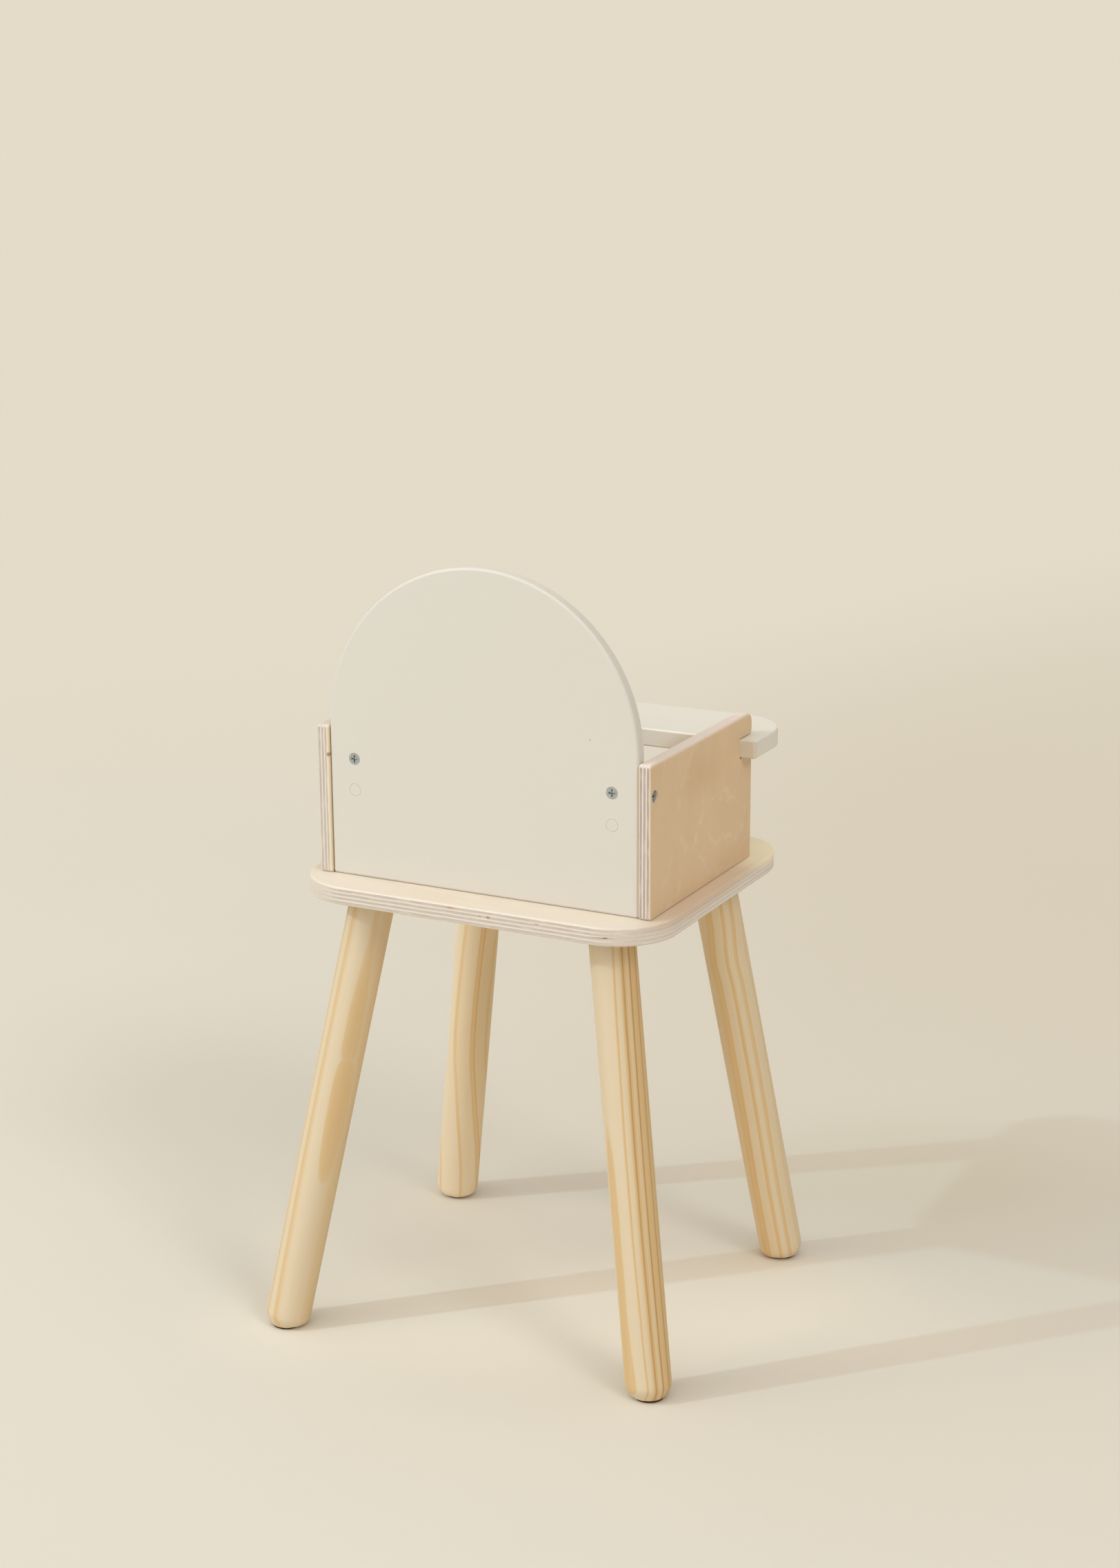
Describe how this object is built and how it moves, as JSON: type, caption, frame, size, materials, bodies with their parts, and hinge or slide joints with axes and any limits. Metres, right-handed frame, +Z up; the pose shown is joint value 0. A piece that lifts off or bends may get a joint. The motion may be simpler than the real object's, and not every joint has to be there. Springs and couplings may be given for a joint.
{
  "type": "doll high chair",
  "caption": "Doll high chair: plywood seat board on splayed round legs, slotted side panels, a back with a half-round top, and a tray that slides off forwards.",
  "frame": {"origin": "on the floor, under the middle of the seat board", "axes": "+Z up, -Y towards the chair's front (the tray), +X towards the chair's left"},
  "size_m": [0.293, 0.2778, 0.52],
  "materials": {
    "birch_ply": "sanded birch plywood, clear matt coat",
    "white_paint": "warm white paint, matt",
    "pine": "sanded pine, clear matt coat",
    "zinc": "zinc plated",
    "felt": "dark brown felt"
  },
  "bodies": {
    "chair": {"seat_board": "birch_ply", "back_panel": "white_paint", "side_panel_left": "birch_ply", "connector_bolt_left": "zinc", "cross_dowel_left": "zinc", "back_plug_left": "white_paint", "side_panel_right": "birch_ply", "connector_bolt_right": "zinc", "cross_dowel_right": "zinc", "back_plug_right": "white_paint", "leg_rear_left": "pine", "felt_pad_rear_left": "felt", "hanger_bolt_rear_left": "zinc", "leg_insert_rear_left": "zinc", "leg_rear_right": "pine", "felt_pad_rear_right": "felt", "hanger_bolt_rear_right": "zinc", "leg_insert_rear_right": "zinc", "leg_front_left": "pine", "felt_pad_front_left": "felt", "hanger_bolt_front_left": "zinc", "leg_insert_front_left": "zinc", "leg_front_right": "pine", "felt_pad_front_right": "felt", "hanger_bolt_front_right": "zinc", "leg_insert_front_right": "zinc", "panel_screw_rear_left": "zinc", "panel_screw_rear_right": "zinc", "panel_screw_front_left": "zinc", "panel_screw_front_right": "zinc", "back_screw_left": "zinc", "back_screw_right": "zinc"},
    "tray": {"tray": "white_paint"}
  },
  "joints": [
    {"name": "tray_slide", "type": "slide", "parent": "chair", "child": "tray", "axis": [0, -1, 0], "range_m": [0, 0.03]}
  ]
}
